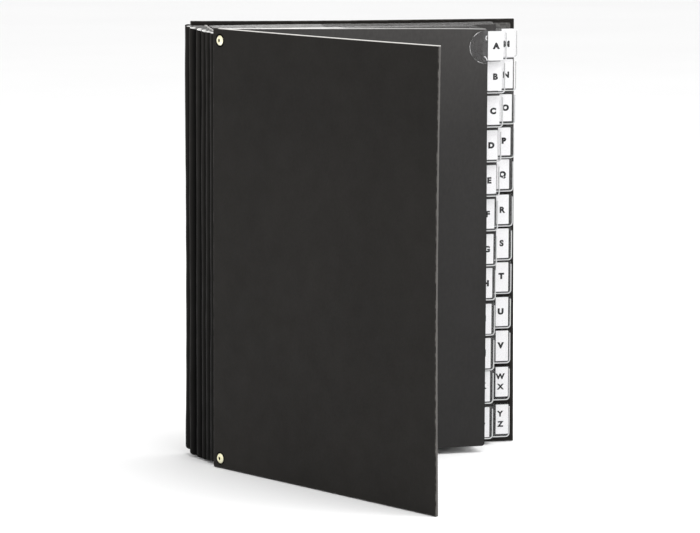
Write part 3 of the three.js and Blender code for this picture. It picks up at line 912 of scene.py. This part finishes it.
for n, letter in enumerate(LETTERS):
    body = leaf_body(n)
    lw = leaf_world(n)
    edge = leaf_edge(n) - CREASE_X
    # the leaf, its cut edges lighter than its faces
    top = LEAF_Z1 + LEAF_RISE * n / 23
    dip = 0.5 * n / 23

    def leaf_place(x, z, y, f=lw, n=n, top=top):
        return f(x, z + leaf_top(n, x) * max(0.0, (z - 300) / (top - 300)) ** 2, y)
    corner = 2.5 if n < 12 else 1.2
    rim = 0.45 if n == 0 else 0.065
    bm = slab(LEAF_X0 - CREASE_X, edge, LEAF_Z0, top, [0.3, corner, corner, 0.3], -LEAF_T / 2, LEAF_T / 2, 0.0, leaf_place,
              cuts=(12, 16), edge_mat=1, steps=5, extra=((), (top - rim,)))
    for f in bm.faces:
        # painted highlight along the top: the front leaf's faces take the light edge colour there, and the others' near
        # the spine
        c_ = f.calc_center_median()
        lx = (c_.x - OX) * 1000 - CREASE_X
        if (n == 0 or lx < 95) and c_.z * 1000 - leaf_top(n, lx) > top - rim:
            f.material_index = 1
        if f.material_index and LEAF_Z0 + 1.5 < f.calc_center_median().z * 1000 < top - 1.5:
            f.material_index = 0
    leaf = finish_mesh(f"index_leaf_{letter}", bm, [LEAF, LEAF_EDGE], sharp=30)
    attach(leaf, body)
    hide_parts(f"leaf_{letter}")

    # cloth tape that hinges it to its root
    def tape_line(z, n=n):
        return [(x, 0.0) for x in (-2.0, -1.4, -0.8, -0.4, -0.15, 0.0, 0.15, 0.4, 0.8, 2.0, 4.0, 7.0, 10.0)]
    zs = [LEAF_Z0 + 0.8 + (top - LEAF_Z0 - 3.2 - dip) * i / 16 for i in range(17)]
    bm = ribbon(tape_line, LEAF_T + 0.22, zs, lambda x, y, z, f=lw: f(x, z, y))
    tape = finish_mesh(f"leaf_tape_{letter}", bm, [TAPE], sharp=50)
    set_attr(tape, "wear", lambda co: 0.0)
    if n % 4 == 0:
        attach(tape, body)
    else:
        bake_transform(tape)

    # tab: clear sleeve, welded rim, paper insert, letter
    row = n % 12
    zc = (TAB_LOW + TAB_PITCH * (11 - row) if row else TAB_Z_TOP) + TAB_DZ[n]
    h = (TAB_H if row else TAB_H_TOP) / 2
    e = edge + TAB_DX[n]
    x0, x1 = e - TAB_LIP + TAB_DX[n] * 0.3, e + TAB_OUT
    bm = slab(x0, x1 - 0.2, zc - h + 0.2, zc + h, [0.5, 2.7, 0.6, 0.5], -0.50, -0.38, 0.0, lw, steps=5)
    rear = slab(x0, x1 - 0.2, zc - h + 0.2, zc + h, [0.5, 2.7, 0.6, 0.5], 0.38, 0.50, 0.0, lw, steps=5)
    tmp = bpy.data.meshes.new("tmp")
    rear.to_mesh(tmp)
    rear.free()
    bm.from_mesh(tmp)
    bpy.data.meshes.remove(tmp)
    start = len(bm.faces)
    # the welded rim runs down the outer side and along the bottom; the top is open
    r = 2.6
    zr = zc - h + 0.33 + RIM_UP[n]
    path = [(x1 - 0.33, zc + h - 2.2), (x1 - 0.33, zc)]
    path += [(x1 - 0.33 - r + r * math.cos(t), zr + r - r * math.sin(t)) for t in (math.pi / 2 * i / 8 for i in range(9))]
    path += [(x1 - 8.0, zr), (e + 0.6, zr)]
    bar(bm, path, 0.74, -0.55, 0.55, lw)
    bm.faces.ensure_lookup_table()
    for f in bm.faces[start:]:
        f.material_index = 1
    sleeve = finish_mesh(f"tab_sleeve_{letter}", bm, [FILM, RIM], sharp=40)
    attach(sleeve, body)
    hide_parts(f"tab_{letter}")

    ix0 = e + (0.32 if n < 12 else 2.5) + INS_DX[n]
    iz0, iz1 = zc - h + INS_BOT[n], zc + h + INS_TOP[n]
    bm = slab(ix0, e + 13.0 + INS_DX[n], iz0, iz1, [0.2, 0.5, 0.5, 0.2], -0.24, 0.16, 0.0, lw, steps=4)
    insert = finish_mesh(f"tab_insert_{letter}", bm, [PAPER], sharp=30)
    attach(insert, body)

    bm = bmesh.new()
    cx, cz = e + 6.7 + LET_DX[n], zc + (1.05 if row else 0.15) + LET_DZ[n]
    if len(letter) == 1:
        glyph_into(bm, letter, cx, cz, 5.15, lw, -0.30, -0.26, 0.055 if letter in "BEFGMNRS" else 0.078)
    else:
        glyph_into(bm, letter[0], cx - 0.15, cz + 3.9, 4.8, lw, -0.30, -0.26, 0.055)
        glyph_into(bm, letter[1], cx + 0.15, cz - 4.6, 4.8, lw, -0.30, -0.26, 0.055)
    ink = finish_mesh(f"index_letter_{letter}", bm, [INK], sharp=30)
    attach(ink, body)

# round clear seal at the root of the first tab
lw = leaf_world(0)
e0 = leaf_edge(0) - CREASE_X
cx, cz, R = e0 - 1.9, LEAF_Z1 - 14.2, 13.2


def seal_point(x, z, h):
    t = min(1.0, max(0.0, (x - (e0 - TAB_LIP - 1.6)) / 1.4))
    return lw(x, z, -(LEAF_T / 2 + 0.05) * (1 - t) - 0.57 * t - h)


# the seal lies on the leaf and the sleeve's lip, and stops at the label
bm = bmesh.new()
NR, NA = 12, 96
rows = []
for side in (0, 1):
    rr = []
    for i in range(1, NR + 1):
        r = R * (0.965 * (i / (NR - 1)) ** 0.8 if i < NR else 1.0)
        th = 0.0 if side else (0.035 + (0.03 if NR - 2 <= i < NR else 0.0)) * (1 if i < NR else 0.6)
        rr.append([bm.verts.new((cx + r * math.cos(2 * math.pi * a_ / NA), th, cz + r * math.sin(2 * math.pi * a_ / NA))) for a_ in range(NA)])
    rows.append((bm.verts.new((cx, 0.0 if side else 0.035, cz)), rr))
for side, (c_, rr) in enumerate(rows):
    for a_ in range(NA):
        b_ = (a_ + 1) % NA
        f = [rr[0][a_], rr[0][b_], c_]
        bm.faces.new(f if side else f[::-1])
        for p_, q_ in zip(rr, rr[1:]):
            f = [p_[a_], p_[b_], q_[b_], q_[a_]]
            bm.faces.new(f[::-1] if side else f)
for a_ in range(NA):
    b_ = (a_ + 1) % NA
    bm.faces.new((rows[0][1][-1][a_], rows[0][1][-1][b_], rows[1][1][-1][b_], rows[1][1][-1][a_]))
cut = bmesh.ops.bisect_plane(bm, geom=bm.verts[:] + bm.edges[:] + bm.faces[:], plane_co=(e0 - 0.25, 0, 0), plane_no=(1, 0, 0),
                             clear_outer=True)
bmesh.ops.edgeloop_fill(bm, edges=[e_ for e_ in cut["geom_cut"] if isinstance(e_, bmesh.types.BMEdge)])
bm.faces.ensure_lookup_table()
for f in bm.faces:
    c_ = f.calc_center_median()
    d = math.hypot(c_.x - cx, c_.z - cz)
    t = math.degrees(math.atan2(c_.z - cz, c_.x - cx)) % 360
    if d > R * 0.972:
        f.material_index = 1 if (112 < t < 138 or 162 < t < 208 or 240 < t < 258) else 2
for v in bm.verts:
    v.co = seal_point(v.co.x, v.co.z, v.co.y)
# where it steps up onto the sleeve its film has puckered: two near-white bars there are painted glints where it catches
# the light
film = set(bm.faces)
zt = LEAF_Z1 - 5.2
bar(bm, [(e0 - 0.55, zt), (e0 - 1.15, zt - 0.35), (e0 - 1.7, zt - 1.2), (e0 - 1.8, zt - 2.2), (e0 - 1.35, zt - 3.1), (e0 - 0.75, zt - 3.5)],
    0.62, -0.80, -0.70, lw)
bar(bm, [(e0 - 3.0, zt - 16.4), (e0 - 2.3, zt - 16.8), (e0 - 1.4, zt - 17.7), (e0 - 0.8, zt - 18.8), (e0 - 0.6, zt - 19.8)],
    0.62, -0.80, -0.70, lw)
for f in bm.faces:
    if f not in film:
        f.material_index = 3
seal = finish_mesh("round_seal", bm, [SEAL, SEAL_RIM, SEAL_EDGE, SEAL_FOLD_GLINT], sharp=30)
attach(seal, leaf_body(0))


# ------------------------------------------------------------- hinge cloths
# front: from the front pleat's wall, round the hinge line, onto the cover
def front_hinge_line(z):
    y = pleat_y(0) - VIS_HALF - 0.42
    a = [(12.0, y), (11.0, y), (10.0, y - 0.05), (9.2, y - 0.3), (8.5, y - 0.9), (8.0, y - 1.8), (7.7, y - 2.9), (7.55, HINGE[1] + 0.35)]
    b = []
    for u in (0.6, 1.4, 2.6, 4.5, 8.0, 13.0, 19.0):
        w = 0.32
        b.append((HINGE[0] + u * _c + w * _s, HINGE[1] - u * _s + w * _c))
    return a + b


zs = [PLEAT_ENDS[0][0] + 0.3 + (PLEAT_ENDS[0][1] - PLEAT_ENDS[0][0] - 0.6) * i / 20 for i in range(21)]
fh = finish_mesh("front_hinge_cloth", ribbon(front_hinge_line, 0.34, zs, W), [CLOTH], sharp=60)
set_attr(fh, "wear", lambda co: 0.0)
# painted shade: half the darkening of the inside of a fold
set_attr(fh, "inside", lambda co: 0.5)
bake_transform(fh)


def back_hinge_line(z):
    y = pleat_y(5) + VIS_HALF + 0.42
    a = [(11.5, y), (6.0, y), (1.0, y), (-1.2, y + 0.02)]
    b = [(-2.2, y + 0.22), (-2.6, BACK + 0.45), (-2.2, BACK + 0.85), (-1.2, -0.45), (0.5, -0.28), (3.0, -0.25), (8.0, -0.25),
         (14.0, -0.25), (20.0, -0.25)]
    return a + b


zs = [PLEAT_ENDS[5][0] + 0.3 + (PLEAT_ENDS[5][1] - PLEAT_ENDS[5][0] - 0.6) * i / 20 for i in range(21)]
bh = finish_mesh("back_hinge_cloth", ribbon(back_hinge_line, 0.3, zs, W), [CLOTH], sharp=60)
set_attr(bh, "wear", lambda co: 0.0)
# painted shade: half the darkening of the inside of a fold
set_attr(bh, "inside", lambda co: 0.5)
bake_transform(bh)


# ------------------------------------------------------------ floor, light
floor_mesh = bpy.data.meshes.new("floor")
S = 40.0
floor_mesh.from_pydata([(-S, -S, -0.0004), (S, -S, -0.0004), (S, S, -0.0004), (-S, S, -0.0004)], [], [(0, 1, 2, 3)])
floor = bpy.data.objects.new("floor", floor_mesh)
bpy.context.scene.collection.objects.link(floor)
fm = Mat("floor_pale")
fm.link(fm.ramp(fm.noise(2.0), [(0.3, (0.88, 0.88, 0.88)), (0.7, (0.90, 0.90, 0.90))]), fm.p.inputs["Base Color"])
fm.set(Roughness=0.9, Specular_IOR_Level=0.1)
floor_mesh.materials.append(fm.m)

world = bpy.data.worlds.new("studio")
world.use_nodes = True
bg = world.node_tree.nodes["Background"]
bg.inputs["Color"].default_value = (1, 1, 1, 1)
bg.inputs["Strength"].default_value = 1.05
bpy.context.scene.world = world


def area(name, loc, target, size, power):
    d = bpy.data.lights.new(name, "AREA")
    d.shape = "RECTANGLE"
    d.size, d.size_y = size
    d.energy = power
    o = bpy.data.objects.new(name, d)
    o.location = loc
    o.rotation_mode = "QUATERNION"
    o.rotation_quaternion = (Vector(target) - Vector(loc)).to_track_quat("-Z", "Y")
    bpy.context.scene.collection.objects.link(o)
    return o


area("key_above", (0.5, -0.6, 2.2), (0, 0, 0.2), (1.8, 1.8), 40)
area("fill_right", (2.2, -1.2, 0.9), (0.05, 0, 0.2), (1.2, 1.2), 18)

# ------------------------------------------------------------------ camera
AZ, EL, ROLL, DIST, F_PX = -13.17, 7.39, 0.19, 3.11644, 3874.45
cam_data = bpy.data.cameras.new("camera")
cam_data.sensor_width = 36.0
cam_data.lens = F_PX * 36.0 / 700.0
cam = bpy.data.objects.new("camera", cam_data)
bpy.context.scene.collection.objects.link(cam)
a, e, r = math.radians(AZ), math.radians(EL), math.radians(ROLL)
back_v = Vector((math.sin(a) * math.cos(e), -math.cos(a) * math.cos(e), math.sin(e)))
right = (-back_v).cross(Vector((0, 0, 1))).normalized()
up = right.cross(-back_v)
R_ = right * math.cos(r) + up * math.sin(r)
U_ = -right * math.sin(r) + up * math.cos(r)
target = W(129.9, 0.0, 147.11)
m = Matrix((R_, U_, back_v)).transposed().to_4x4()
m.translation = target + back_v * DIST
cam.matrix_world = m
cam_data.clip_start, cam_data.clip_end = 0.05, 100.0
bpy.context.scene.camera = cam

bpy.context.scene.view_settings.view_transform = "Standard"
bpy.context.scene.view_settings.look = "None"
